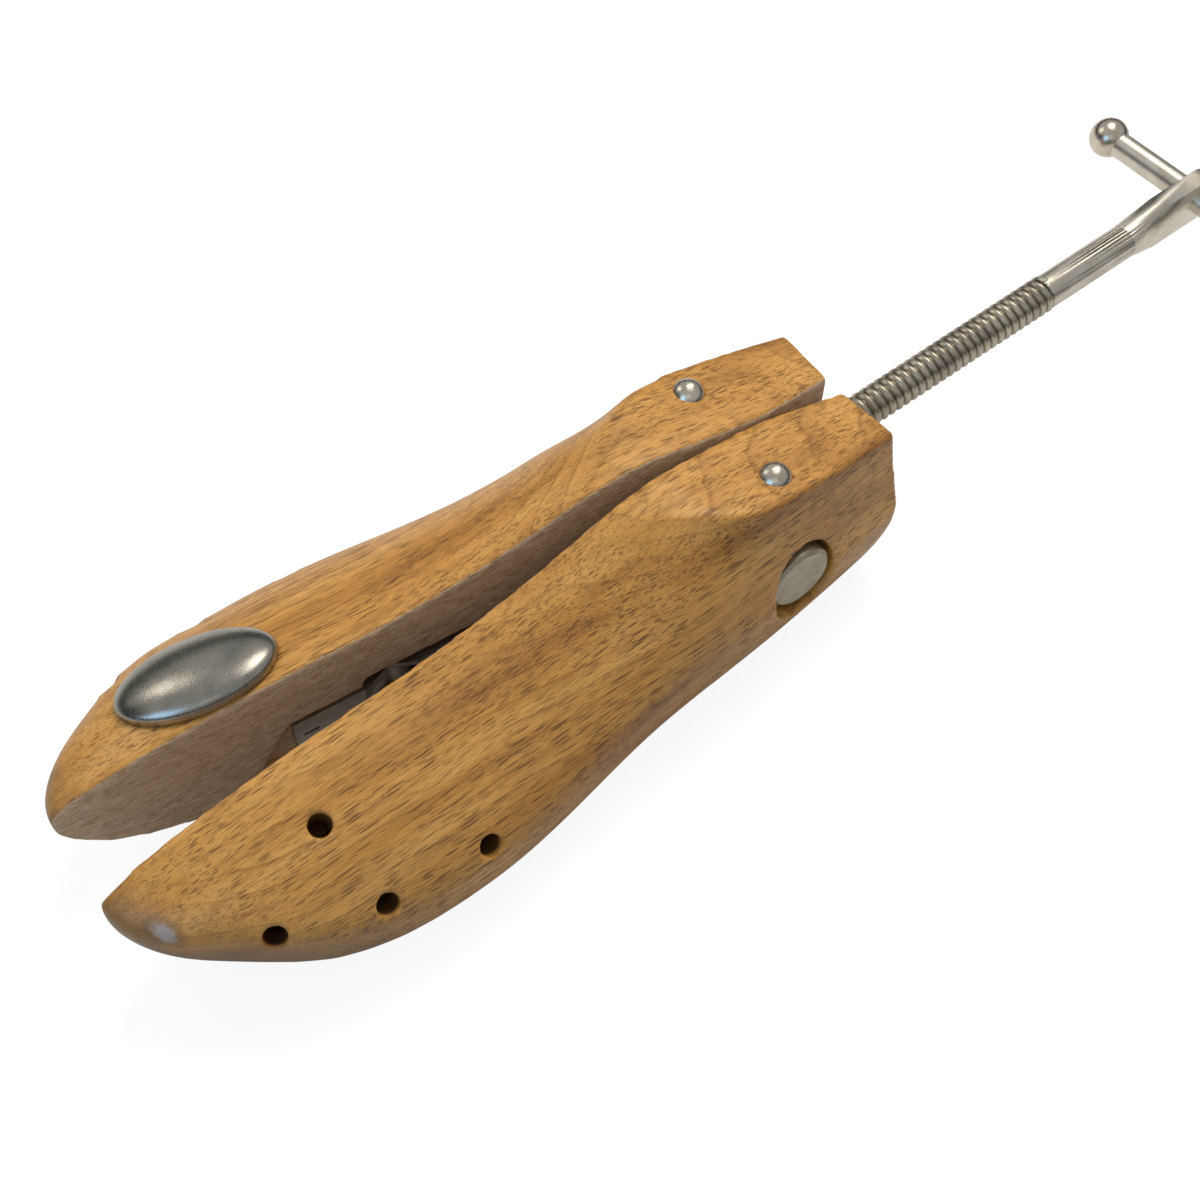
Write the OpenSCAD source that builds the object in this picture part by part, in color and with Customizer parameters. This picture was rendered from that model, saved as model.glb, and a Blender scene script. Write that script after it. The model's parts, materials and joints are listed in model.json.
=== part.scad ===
// Width-spreading shoe stretcher: a wooden forepart split lengthwise, opened by a screw and four toggle links.
// X runs along the shoe, with the toe at -X and the handle at +X. Z is up and z = 0 is the sole.
// x = 0, y = 0 lies under the middle of the cross bar on which both halves pivot.

/* [Forepart] */
// Length from the pivots forward to the toe tip
toe_reach = 171; // [160:1:185]
// Length from the pivots back to the rear face
rear_reach = 33.7; // [32:0.1:35]
// Distance from the pivots forward to the ball of the foot
ball_x = 100; // [96:1:106]
// Width of one half at the ball of the foot
ball_w = 40; // [37:0.5:46]
// Width of one half at the waist
waist_w = 34; // [33.5:0.5:37]
// Width of one half at the pivots
pivot_w = 32; // [31:0.5:34]
// Width of one half at the rear face
rear_w = 28; // [27:0.5:30]
// Height of the inner top edge at the ball
ball_h = 40.5; // [38:0.5:43]
// Height of the inner top edge at the instep
instep_h = 48; // [46:0.5:50]
// Height of the flat top at the pivots
pivot_h = 50.2; // [49:0.1:53]
// Height of the toe tip above the sole plane
toe_h = 28.5; // [26:0.5:31]
// Fall of the flat top per millimetre of length
top_fall = 0.13; // [0.12:0.01:0.16]
// Distance from the centre plane to the outer edge of the flat top
top_w = 23.6; // [22.6:0.1:25]
// Distance in front of the pivots where the flat top ends
top_front = 21; // [18:1:23]

/* [Split] */
// Half of the gap between the closed halves
half_gap = 0.6; // [0.55:0.05:0.9]
// Distance behind the pivots where the inner faces fall away
knee_x = 11.8; // [10:0.1:13]
// Distance of the rear inner corner from the centre plane
rear_relief = 4.9; // [4.7:0.1:5.4]
// Opening of one half at rest, in degrees
rest_open = 3.5; // [3:0.1:4]
// Largest opening of one half, in degrees
max_open = 6; // [5.5:0.1:6.2]

/* [Cross bar and pivots] */
// Height of the bar's centre above the sole
bar_h = 24.5; // [23.5:0.5:25]
// Diameter of the cross bar
bar_d = 17.5; // [17:0.5:18.5]
// Length of the cross bar
bar_len = 59; // [56:1:60]
// Radial room around the bar in the bores
bar_room = 1.4; // [1.3:0.1:1.6]
// Distance of each pivot rivet from the centre plane
pivot_y = 16; // [15.5:0.5:16.5]
// Diameter of the rivet shank
rivet_d = 4.5; // [4:0.1:5]
// Diameter of the domed rivet head
rivet_head_d = 8; // [7.5:0.1:9]
// Height of the domed rivet head
rivet_head_h = 2.4; // [2:0.1:3]

/* [Screw and handle] */
// Rise of the screw towards the handle, in degrees
screw_tilt = 5.3; // [4.6:0.1:5.6]
// Outer diameter of the thread
thread_d = 9.8; // [9.5:0.1:10.2]
// Pitch of the thread
thread_pitch = 2.5; // [2.2:0.1:2.8]
// Depth of the thread
thread_depth = 0.6; // [0.4:0.05:0.8]
// Where the thread ends behind the pivots
thread_end = 109; // [105:0.5:118]
// Where the flattened end of the screw begins
flat_start = 138; // [134:1:142]
// Where the handle bar crosses the screw
handle_x = 165.3; // [162:0.1:168]
// Thickness of the flattened end
flat_t = 5; // [4.5:0.5:6]
// Width of the flattened end
flat_w = 14; // [12:0.5:15]
// Diameter of the handle bar
handle_d = 7; // [6:0.5:7.5]
// Length of the handle bar
handle_len = 62; // [50:1:62]
// Diameter of the ball ends on the handle bar
handle_ball_d = 11; // [10:0.5:11.5]

/* [Toggle links] */
// Distance from the pivots forward to the anchor pins
anchor_x = 88; // [87:0.5:89]
// Distance of each anchor pin from the centre plane when closed
anchor_y = 6; // [5.8:0.1:6.3]
// Length of a link between its pin centres
link_len = 24; // [23.5:0.5:25]
// Width of a link
link_w = 8; // [7.5:0.5:8]
// Thickness of a link
link_t = 1.3; // [1.2:0.1:1.3]
// Diameter of the link pins
pin_d = 4; // [3.6:0.1:4]
// Radial play of the middle pin in the links
pin_play = 0.5; // [0.5:0.05:0.6]
// Depth of the pocket from the centre plane
pocket_depth = 12.5; // [12.5:0.5:14]
// Half of the pocket's height
pocket_half_h = 6; // [5.9:0.1:6.4]

/* [Plugs] */
// Diameter of a plug hole
plug_hole_d = 5.2; // [4.8:0.1:5.6]
// Depth of a plug hole
plug_hole_depth = 14; // [12:1:15]
// Length of the oval plug
plug_len = 37; // [35:1:40]
// Width of the oval plug
plug_w = 23.4; // [22:0.1:25]
// Height of the oval plug
plug_h = 5.8; // [5.4:0.1:7]

/* [Hidden] */
$fn = 48;
eps = 0.01;
reach = 200;

wood = [0.78, 0.58, 0.33];
steel = [0.6, 0.6, 0.58];
nickel = [0.82, 0.81, 0.78];

// Clearances between pieces that move on each other
run_gap = 0.05;
side_gap = 0.15;
// Room for the small rise of the middle pin as it follows the tilted screw
lift_gap = 0.4;

// Shape of the half: where its long curves change
spring_x = 117;
waist_x = 45;
instep_x = 50;
rear_round = 9;
toe_blunt = 0.8;
sole_sink = 0.8;
upper_front = 1.6;
upper_rear = 0.9;
upper_toe = 1.7;
lower_rear = 2.85;
lower_toe = 2.8;
lower_power = 3.3;
spring_power = 1.95;

// Plug holes of one half: the mouth's distance behind the toe tip, its place across and up,
// the hole's lean from upright and its turn to the toe
plug_holes = [[43.5, 17.4, 36, 20, 0], [71.2, 37.2, 22.5, 58, 0], [46.4, 35.1, 23.6, 57, 7], [24.5, 27.3, 26.2, 53, 25]];
// The right half's top hole, which carries the oval plug, and the turn of the plug's long side
oval_hole = [40.2, 12.6, 36.9, 16.5, 15.3];
oval_turn = 26.5;

// Oval plug's rim, shell, boss and stem
plug_rim = 1;
shell_t = 1.2;
boss_r = 4;
boss_z = 1.5;
stem_d = plug_hole_d - 0.2;
stem_len = 12.5;

// Crosshead that the screw's end turns in, measured back from the middle pin
head_front = 8;
head_back = 22;
head_half = 5.4;
tongue_half = 1.1;
socket_bottom = 10.8;
neck_r = 3.2;
neck_tip = 11;
groove_from = 13.7;
groove_to = 16.5;
groove_r = 2.3;
keeper_r = 1.25;
keeper_y = groove_r + keeper_r + 0.08;
washer_t = 1.2;
washer_r = 5.3;
pin_head_r = 3.2;
pin_head_t = 0.7;

// Anchor plates screwed into the halves
leaf_front = 116.5;
leaf_rear = 98;
leaf_t = 2;
leaf_half = 5.4;
leaf_mid = -2.6;
eye_r = 4;
screw_x = [-112.5, -102.5];
screw_r = 1.6;
screw_head_r = 3;
screw_head_t = 1.5;
screw_len = 15;

// Levels of the stacked links above and below the screw's axis
left_level = tongue_half + lift_gap;
right_level = left_level + link_t + side_gap;
head_level = right_level + link_t + lift_gap;
pin_r = pin_d / 2;
rivet_bottom = 6;
shank_r = thread_d / 2 - thread_depth / 2;

// Smooth step from 0 to 1
function ease(t) = let (u = max(0, min(1, t))) u * u * (3 - 2 * u);

// Quarter of a rounded nose, 1 at u = 0 and 0 at u = 1
function nose(u, p = 2) = pow(max(0, 1 - pow(max(0, u), p)), 1 / p);

// Cubic between two points with given slopes
function cubic(x, x0, y0, m0, x1, y1, m1) =
    let (h = x1 - x0, t = (x - x0) / h)
    y0 * (1 + 2 * t) * pow(1 - t, 2) + m0 * h * t * pow(1 - t, 2)
    + y1 * t * t * (3 - 2 * t) + m1 * h * t * t * (t - 1);

function toe_u(x) = (-ball_x - x) / (toe_reach + toe_blunt - ball_x);

function width_at(x) =
    x < -ball_x ? ball_w * nose(toe_u(x), 2.12) * (1 - 0.13 * ease((toe_u(x) - 0.5) / 0.35))
    : x < -waist_x ? cubic(x, -ball_x, ball_w, 0, -waist_x, waist_w, -0.05)
    : x < 0 ? cubic(x, -waist_x, waist_w, -0.05, 0, pivot_w, -0.08)
    : cubic(x, 0, pivot_w, -0.08, rear_reach, rear_w, -0.13);

function flat_top(x) = pivot_h - top_fall * x;

function top_at(x) =
    x < -ball_x ? toe_h + (ball_h - toe_h) * nose(toe_u(x), 1.95)
    : x < -instep_x ? cubic(x, -ball_x, ball_h, 0.04, -instep_x, instep_h, 0.28)
    : x < -top_front ? cubic(x, -instep_x, instep_h, 0.28, -top_front, flat_top(-top_front), -0.02)
    : flat_top(x);

function rear_u(x) = max(0, (x - rear_reach + rear_round) / rear_round);

// Lower edge of the rounded section, which dips under the sole plane where the sole is flat
function sole_at(x) =
    x < -spring_x ? -sole_sink + (toe_h + sole_sink) * (1 - nose((-spring_x - x) / (toe_reach + toe_blunt - spring_x), spring_power))
    : -sole_sink + rear_round * (1 - nose(rear_u(x) * 0.95));

// Share of the height at which a half is widest
function bulge_at(x) = 0.47 + 0.2 * ease((-spring_x - x) / 45) + 0.02 * ease((x + 80) / 60);

// Outer edge of the flat top, which narrows in front to a soft shoulder
function flat_at(x) =
    let (front = -7)
    x < front ? top_w * pow(ease((x - front + 38) / 38), 0.8)
    : top_w - 1.3 * pow(max(0, x - 8) / 25, 1.5);

// Roundness above and below the widest line, from full at the toe to nearly straight above it at the rear
function upper_power(x) =
    upper_front + (upper_toe - upper_front) * ease((-ball_x - x) / 50) + (upper_rear - upper_front) * ease((x + 39) / 32);
function lower_power_at(x) =
    lower_power + (lower_toe - lower_power) * ease((-spring_x - x) / 40) + (lower_rear - lower_power) * ease((x + 30) / 40);

// One cross-section of the left half, from its inner top edge round to its inner bottom edge
function section(x) =
    let (w = width_at(x), top = top_at(x), low = sole_at(x), mid = low + bulge_at(x) * (top - low))
    let (flat = max(half_gap + 0.2, min(flat_at(x), w - 1)), p = upper_power(x), q = lower_power_at(x), n = 11)
    concat(
        [[x, -half_gap, top]],
        [for (i = [0 : n]) let (a = 90 * i / n)
            [x, -flat - (w - flat) * pow(sin(a), 2 / p), mid + (top - mid) * pow(max(0, cos(a)), 2 / p)]],
        [for (i = [1 : n]) let (a = 90 * i / n)
            [x, -half_gap - (w - half_gap) * pow(max(0, cos(a)), 2 / q), max(0, mid - (mid - low) * pow(sin(a), 2 / q))]]
    );

// Places of the cross-sections, close together at the toe, the front of the flat top and the rear
section_xs = concat(
    [for (i = [0 : 13]) -toe_reach + (toe_reach - ball_x) * (1 - cos(90 * i / 14))],
    [for (i = [0 : 10]) -ball_x + (ball_x - 46) * i / 11],
    [for (i = [0 : 8]) -46 + (46 - top_front) * i / 9],
    [for (i = [0 : 5]) -top_front + (top_front - 7) * i / 6],
    [for (i = [0 : 5]) -7 + (rear_reach - rear_round + 7) * i / 6],
    [for (i = [0 : 6]) rear_reach - rear_round + rear_round * sin(90 * i / 6)]
);

// Closed solid through a list of cross-sections
module loft(rings) {
    count = len(rings);
    m = len(rings[0]);
    sides = [for (i = [0 : count - 2]) for (j = [0 : m - 1])
        let (a = i * m + j, b = i * m + (j + 1) % m) each [[a, b + m, b], [a, a + m, b + m]]];
    caps = [[for (j = [0 : m - 1]) j], [for (j = [m - 1 : -1 : 0]) (count - 1) * m + j]];
    polyhedron(points = [for (r = rings) each r], faces = concat(sides, caps), convexity = 6);
}

// Frame of the screw: its origin is the bar's centre and its X runs along the screw
module on_screw() {
    translate([0, 0, bar_h]) rotate([0, -screw_tilt, 0]) children();
}

// Turns a closed left-hand piece about its pivot rivet, by default to the rest opening
module opened(angle = rest_open) {
    translate([0, -pivot_y, 0]) rotate([0, 0, angle]) translate([0, pivot_y, 0]) children();
}

// Level of the links, anchors and their pins
module at_links() {
    translate([0, 0, link_h]) children();
}

module right_side() {
    mirror([0, 1, 0]) children();
}

module rod_along_x(x0, x1, r0, r1) {
    translate([x0, 0, 0]) rotate([0, 90, 0]) cylinder(h = x1 - x0, r1 = r0, r2 = r1);
}

// What is cut from a closed left half for the bar, the rivet, the screw and the links
module half_cuts() {
    opened(-rest_open) translate([0, 0, bar_h]) rotate([90, 0, 0]) cylinder(h = reach, r = bar_d / 2 + bar_room);
    translate([0, -pivot_y, rivet_bottom]) cylinder(h = reach, d = rivet_d);
    groove = thread_d / 2 + 0.6;
    on_screw() {
        rod_along_x(-60, eps, groove, groove);
        rod_along_x(0, rear_reach + 6, groove, groove + (rear_reach + 6) * sin(max_open) + 0.4);
        translate([head_s + 2, -head_half - 2, -head_half - 1])
            cube([head_back + washer_t + 4, head_half + 5, 2 * head_half + 2]);
    }
    at_links() {
        translate([-leaf_rear, -pocket_depth, -pocket_half_h]) cube([leaf_rear - 38, pocket_depth + 5, 2 * pocket_half_h]);
        leaf_recess();
        for (x = screw_x) translate([x, -half_gap, leaf_mid]) anchor_screw(0);
    }
}

// Shallow recess of the anchor plate, with the slanted front end
module leaf_recess() {
    h = leaf_half + 0.3;
    translate([0, 5, leaf_mid]) rotate([90, 0, 0])
        linear_extrude(5 + half_gap + leaf_t + 0.05)
            polygon([[-leaf_rear + eps, -h], [-leaf_rear + eps, h], [-leaf_front - 0.5, h], [-leaf_front - 9, -h]]);
}

// Inner face behind the knee, cut back so that the rear ends can close
module rear_cut() {
    knee_y = half_gap + (knee_x - 2) * tan(rest_open);
    linear_extrude(reach, center = true)
        polygon([[2, -half_gap], [knee_x, -knee_y], [rear_reach + 1, -rear_relief], [rear_reach + 1, 5], [2, 5]]);
}

module plug_hole(place) {
    translate([place[0] - toe_reach, -place[1], place[2]]) rotate([place[3], 0, -place[4]])
        translate([0, 0, -plug_hole_depth]) cylinder(h = reach / 2, d = plug_hole_d);
}

module closed_half(holes) {
    difference() {
        loft([for (x = section_xs) section(x)]);
        half_cuts();
        rear_cut();
        for (place = holes) plug_hole(place);
    }
}

module left_half() {
    color(wood) opened() closed_half(plug_holes);
}

module right_half() {
    holes = concat([oval_hole], [for (i = [1 : 3]) plug_holes[i]]);
    color(wood) right_side() opened() closed_half(holes);
}

module cross_bar() {
    bevel = 0.8;
    r = bar_d / 2;
    color(steel) translate([0, 0, bar_h]) difference() {
        rotate([90, 0, 0]) union() {
            cylinder(h = bar_len - 2 * bevel, r = r, center = true);
            for (s = [0, 1]) mirror([0, 0, s])
                translate([0, 0, bar_len / 2 - bevel - eps]) cylinder(h = bevel + eps, r1 = r, r2 = r - bevel);
        }
        rotate([0, -screw_tilt, 0]) rod_along_x(-bar_d, bar_d, thread_d / 2 + run_gap, thread_d / 2 + run_gap);
        for (s = [-1, 1]) translate([0, s * pivot_y, -bar_d]) cylinder(h = 2 * bar_d, d = rivet_d + 2 * run_gap);
    }
}

// Rivet of the left half: a straight shank with a domed head set square to the flat top
module pivot_rivet() {
    head_r = rivet_head_d / 2;
    ball_r = (head_r * head_r + rivet_head_h * rivet_head_h) / (2 * rivet_head_h);
    opened() {
        translate([0, -pivot_y, rivet_bottom]) cylinder(h = pivot_h - rivet_bottom + 0.3, d = rivet_d);
        translate([0, -pivot_y, pivot_h]) rotate([0, atan(top_fall), 0]) intersection() {
            translate([0, 0, rivet_head_h - ball_r]) sphere(r = ball_r);
            cylinder(h = 2 * rivet_head_h, r = rivet_head_d);
        }
    }
}

module left_pivot_rivet() {
    color(nickel) pivot_rivet();
}

module right_pivot_rivet() {
    color(nickel) right_side() pivot_rivet();
}

// Linkage positions for one half opened by an angle: where the anchor pin, the link and the middle pin stand
function anchor_at(a) = [
    -anchor_x * cos(a) - (pivot_y - anchor_y) * sin(a),
    -pivot_y - anchor_x * sin(a) + (pivot_y - anchor_y) * cos(a)
];
function link_angle(a) = asin(-anchor_at(a)[1] / link_len);
function middle_x(a) = anchor_at(a)[0] + link_len * cos(link_angle(a));

// A straight line from the closed to the open value, read at rest, shares its error with the true value
function shared(closed, rest, open) = (rest + closed + (open - closed) * rest_open / max_open) / 2;
head_x = shared(middle_x(0), middle_x(rest_open), middle_x(max_open));
link_turn = shared(link_angle(0), link_angle(rest_open) - rest_open, link_angle(max_open) - max_open) + rest_open;

// Height of the links and distance of the middle pin along the screw
link_h = bar_h + head_x * tan(screw_tilt);
head_s = head_x / cos(screw_tilt);

screw_start = head_s + head_back + washer_t + 0.1;
ring_count = floor((thread_end - screw_start) / thread_pitch);
crest_r = thread_d / 2;
root_r = crest_r - thread_depth;

// Outline of the screw, as radius and place along it
function thread_ring(x) = [
    [root_r, x + 0.06 * thread_pitch], [crest_r, x + 0.34 * thread_pitch],
    [crest_r, x + 0.66 * thread_pitch], [root_r, x + 0.94 * thread_pitch]
];
screw_outline = concat(
    [[0, head_s + neck_tip], [neck_r - 0.5, head_s + neck_tip], [neck_r, head_s + neck_tip + 0.5]],
    [[neck_r, head_s + groove_from], [groove_r, head_s + groove_from]],
    [[groove_r, head_s + groove_to], [neck_r, head_s + groove_to]],
    [[neck_r, screw_start], [root_r, screw_start]],
    [for (i = [0 : ring_count - 1]) each thread_ring(screw_start + i * thread_pitch)],
    [[shank_r, screw_start + ring_count * thread_pitch + 0.5], [shank_r, flat_start], [0, flat_start]]
);

// Flattened end with the cross hole of the handle bar
module flat_end() {
    taper = 11;
    difference() {
        union() {
            hull() {
                rod_along_x(flat_start - eps, flat_start + eps, shank_r, shank_r, $fn = 32);
                translate([flat_start + taper, -flat_t / 2, -flat_w / 2]) cube([eps, flat_t, flat_w]);
            }
            translate([flat_start + taper, -flat_t / 2, -flat_w / 2]) cube([handle_x - flat_start - taper, flat_t, flat_w]);
            translate([handle_x, 0, 0]) rotate([90, 0, 0]) cylinder(h = flat_t, d = flat_w, center = true);
        }
        translate([handle_x, 0, 0]) rotate([90, 0, 0]) cylinder(h = 2 * flat_w, d = handle_d, center = true);
    }
}

module screw_rod() {
    color(steel) on_screw() union() {
        rotate([0, 90, 0]) rotate_extrude() polygon(screw_outline);
        flat_end();
    }
}

module handle_bar() {
    color(steel) on_screw() translate([handle_x, 0, 0]) rotate([90, 0, 0])
        cylinder(h = handle_len, d = handle_d, center = true);
}

module handle_ends() {
    color(nickel) on_screw() for (s = [0, 1]) mirror([0, s, 0]) translate([handle_x, -handle_len / 2, 0])
        difference() {
            sphere(d = handle_ball_d);
            rotate([-90, 0, 0]) cylinder(h = handle_ball_d, d = handle_d);
        }
}

module crosshead() {
    color(steel) difference() {
        union() {
            on_screw() translate([head_s, 0, 0]) intersection() {
                translate([head_front, -head_half - 1, -head_half]) cube([head_back - head_front, 2 * head_half + 2, 2 * head_half]);
                rod_along_x(head_front, head_back, head_half + 2, head_half + 2);
            }
            translate([head_x, -5, link_h - tongue_half]) cube([head_front + 1, 10, 2 * tongue_half]);
            translate([head_x, 0, link_h]) cylinder(h = 2 * tongue_half, r = 5, center = true);
        }
        on_screw() translate([head_s, 0, 0]) {
            rod_along_x(socket_bottom, head_back + 1, neck_r + run_gap, neck_r + run_gap);
            translate([(groove_from + groove_to) / 2, keeper_y, 0]) cylinder(h = 20, r = keeper_r, center = true);
        }
        translate([head_x, 0, link_h]) cylinder(h = 10, r = pin_r, center = true);
    }
}

module crosshead_washer() {
    color(nickel) on_screw() translate([head_s + head_back, 0, 0]) difference() {
        rod_along_x(0, washer_t, washer_r, washer_r);
        rod_along_x(-1, washer_t + 1, neck_r + run_gap, neck_r + run_gap);
    }
}

module rod_keeper_pin() {
    x = head_s + (groove_from + groove_to) / 2;
    color(steel) on_screw() translate([x, keeper_y, 0]) cylinder(h = 2 * head_half, r = keeper_r, center = true);
}

// Pin with a flat head at each end
module link_pin(level) {
    cylinder(h = 2 * level + eps, r = pin_r, center = true);
    for (s = [0, 1]) mirror([0, 0, s]) translate([0, 0, level]) cylinder(h = pin_head_t, r = pin_head_r);
}

module middle_pin() {
    color(steel) at_links() translate([head_x, 0, 0]) link_pin(head_level);
}

// Link of the left half, from its anchor pin towards the middle pin
module link(level) {
    place = anchor_at(rest_open);
    translate([place[0], place[1], level]) rotate([0, 0, link_turn]) difference() {
        union() {
            cylinder(h = link_t, d = link_w);
            translate([link_len, 0, 0]) cylinder(h = link_t, d = link_w);
            translate([0, -link_w / 2, 0]) cube([link_len, link_w, link_t]);
        }
        translate([0, 0, -1]) cylinder(h = link_t + 2, r = pin_r + run_gap);
        translate([link_len, 0, -1]) cylinder(h = link_t + 2, r = pin_r + pin_play);
    }
}

module left_link_upper() {
    color(steel) at_links() link(left_level);
}

module left_link_lower() {
    color(steel) at_links() link(-left_level - link_t);
}

module right_link_upper() {
    color(steel) at_links() right_side() link(right_level);
}

module right_link_lower() {
    color(steel) at_links() right_side() link(-right_level - link_t);
}

// Anchor plate of the left half: a leaf let into the inner face, a web bent outwards and an eye for the pin
module anchor(eye_half) {
    leaf_y = -half_gap - leaf_t;
    run = leaf_rear - anchor_x;
    lean = atan((anchor_y - half_gap - leaf_t / 2) / run);
    difference() {
        union() {
            translate([-leaf_front, leaf_y, leaf_mid - leaf_half]) cube([leaf_front - leaf_rear, leaf_t, 2 * leaf_half]);
            translate([-leaf_rear, leaf_y + leaf_t / 2, -eye_half]) rotate([0, 0, -lean])
                translate([-1, -leaf_t / 2, 0]) cube([run / cos(lean), leaf_t, 2 * eye_half]);
            translate([-anchor_x, -anchor_y, -eye_half]) cylinder(h = 2 * eye_half, r = eye_r);
        }
        translate([-anchor_x, -anchor_y, 0]) cylinder(h = 20, r = pin_r, center = true);
        for (x = screw_x) translate([x, -half_gap, leaf_mid]) anchor_screw(0);
    }
}

// Countersunk wood screw pointing outwards, its head level with the leaf
module anchor_screw(room) {
    rotate([90, 0, 0]) {
        cylinder(h = screw_head_t, r1 = screw_head_r + room, r2 = screw_r + room);
        cylinder(h = screw_len, r = screw_r + room);
    }
}

module left_anchor() {
    color(steel) at_links() opened() anchor(left_level - side_gap);
}

module right_anchor() {
    color(steel) at_links() right_side() opened() anchor(right_level - side_gap);
}

module anchor_pin(level) {
    place = anchor_at(rest_open);
    translate([place[0], place[1], 0]) link_pin(level);
}

module left_anchor_pin() {
    color(steel) at_links() anchor_pin(left_level + link_t + side_gap);
}

module right_anchor_pin() {
    color(steel) at_links() right_side() anchor_pin(right_level + link_t + side_gap);
}

module anchor_screws() {
    opened() for (x = screw_x) translate([x, -half_gap, leaf_mid]) difference() {
        anchor_screw(0);
        translate([-2, -0.6, -0.4]) cube([4, 1, 0.8]);
    }
}

module left_anchor_screws() {
    color(nickel) at_links() anchor_screws();
}

module right_anchor_screws() {
    color(nickel) at_links() right_side() anchor_screws();
}

// Puts a piece on the right half's top hole, with its Z along the hole
module at_oval_hole() {
    right_side() opened() translate([oval_hole[0] - toe_reach, -oval_hole[1], oval_hole[2]])
        rotate([oval_hole[3], 0, -oval_hole[4]]) children();
}

// Pressed shell with a short upright rim, hollow underneath, and the boss that holds the stem
module oval_plug() {
    color(nickel) at_oval_hole() rotate([0, 0, oval_turn]) {
        difference() {
            oval_dome(0);
            translate([0, 0, -eps]) oval_dome(shell_t);
        }
        difference() {
            translate([0, 0, boss_z]) cylinder(h = plug_h - shell_t - boss_z, r = boss_r);
            translate([0, 0, -eps]) cylinder(h = plug_h - 2 * shell_t, d = stem_d);
        }
    }
}

module oval_dome(inset) {
    a = plug_len / 2 - inset;
    b = plug_w / 2 - inset;
    scale([a, b, 1]) cylinder(h = plug_rim, r = 1, $fn = 64);
    translate([0, 0, plug_rim - eps]) intersection() {
        scale([a, b, plug_h - plug_rim - inset]) sphere(r = 1, $fn = 64);
        cylinder(h = plug_h, r = plug_len);
    }
}

module oval_plug_stem() {
    color(nickel) at_oval_hole() translate([0, 0, -stem_len]) cylinder(h = stem_len + plug_h - 2 * shell_t - eps, d = stem_d);
}

left_half();
right_half();
cross_bar();
left_pivot_rivet();
right_pivot_rivet();
screw_rod();
handle_bar();
handle_ends();
crosshead();
crosshead_washer();
rod_keeper_pin();
middle_pin();
left_link_upper();
left_link_lower();
right_link_upper();
right_link_lower();
left_anchor();
right_anchor();
left_anchor_pin();
right_anchor_pin();
left_anchor_screws();
right_anchor_screws();
oval_plug();
oval_plug_stem();
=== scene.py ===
# Wooden shoe stretcher: two half foreparts on a steel cross bar, spread by a screw with a cross handle
import json
import math

import bpy
from mathutils import Matrix, Vector

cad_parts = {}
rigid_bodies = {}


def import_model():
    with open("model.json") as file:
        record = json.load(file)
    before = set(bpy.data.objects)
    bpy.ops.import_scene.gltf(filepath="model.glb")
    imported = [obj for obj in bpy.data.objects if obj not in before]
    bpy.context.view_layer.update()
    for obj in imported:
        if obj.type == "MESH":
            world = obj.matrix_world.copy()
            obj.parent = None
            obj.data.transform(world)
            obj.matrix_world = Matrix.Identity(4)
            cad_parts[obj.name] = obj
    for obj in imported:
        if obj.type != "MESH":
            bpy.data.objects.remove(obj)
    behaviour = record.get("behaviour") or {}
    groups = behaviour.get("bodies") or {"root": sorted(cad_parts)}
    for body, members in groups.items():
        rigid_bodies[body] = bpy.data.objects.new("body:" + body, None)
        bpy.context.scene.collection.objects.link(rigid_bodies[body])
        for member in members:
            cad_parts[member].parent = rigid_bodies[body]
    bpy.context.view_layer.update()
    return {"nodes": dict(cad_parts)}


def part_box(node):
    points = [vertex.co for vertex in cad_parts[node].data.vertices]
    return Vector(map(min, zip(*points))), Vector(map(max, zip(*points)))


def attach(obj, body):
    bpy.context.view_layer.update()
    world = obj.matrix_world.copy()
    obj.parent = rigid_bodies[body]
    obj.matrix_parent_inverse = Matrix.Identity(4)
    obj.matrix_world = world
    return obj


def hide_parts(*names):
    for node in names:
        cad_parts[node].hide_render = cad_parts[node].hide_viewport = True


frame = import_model()
mm = 0.001
mergeReach = 0.00001        # points of a CAD copy that count as one

# Where the halves and the screw stand, as in the part's own source, in mm and degrees
mech = {
    "restOpen": 3.5,        # opening of each half at rest
    "pivotY": 16,           # rivets from the centre plane
    "barHeight": 24.5,
    "screwTilt": 5.3,       # rises to the handle
    "halfGap": 0.6,         # half's flat inner face from the centre plane
    "kneeX": 11.8,          # behind it the inner face falls away to the rear
    "rearReach": 33.7,
    "rearRelief": 4.9,
}


def deselect():
    bpy.ops.object.select_all(action="DESELECT")


def pick(obj):
    deselect()
    obj.select_set(True)
    bpy.context.view_layer.objects.active = obj


def named(name):
    obj = bpy.context.object
    obj.name = name
    obj.data.name = name
    return obj


def applyModifiers(obj):
    pick(obj)
    for mod in list(obj.modifiers):
        bpy.ops.object.modifier_apply(modifier=mod.name)


def settle(obj, matrix=None):
    # moves a piece to its place and leaves that place in its mesh
    if matrix is not None:
        obj.matrix_world = matrix @ obj.matrix_world
        bpy.context.view_layer.update()
    pick(obj)
    bpy.ops.object.transform_apply(location=True, rotation=True, scale=True)


def copyOfNode(node, name):
    # CAD meshes are loose triangles, so the copy is merged, and it stays in edit mode
    pick(node)
    bpy.ops.object.duplicate()
    copy = named(name)
    bpy.ops.object.parent_clear(type="CLEAR_KEEP_TRANSFORM")
    bpy.ops.object.mode_set(mode="EDIT")
    bpy.ops.mesh.select_all(action="SELECT")
    bpy.ops.mesh.remove_doubles(threshold=mergeReach)
    bpy.ops.mesh.normals_make_consistent(inside=False)
    return copy


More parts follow.
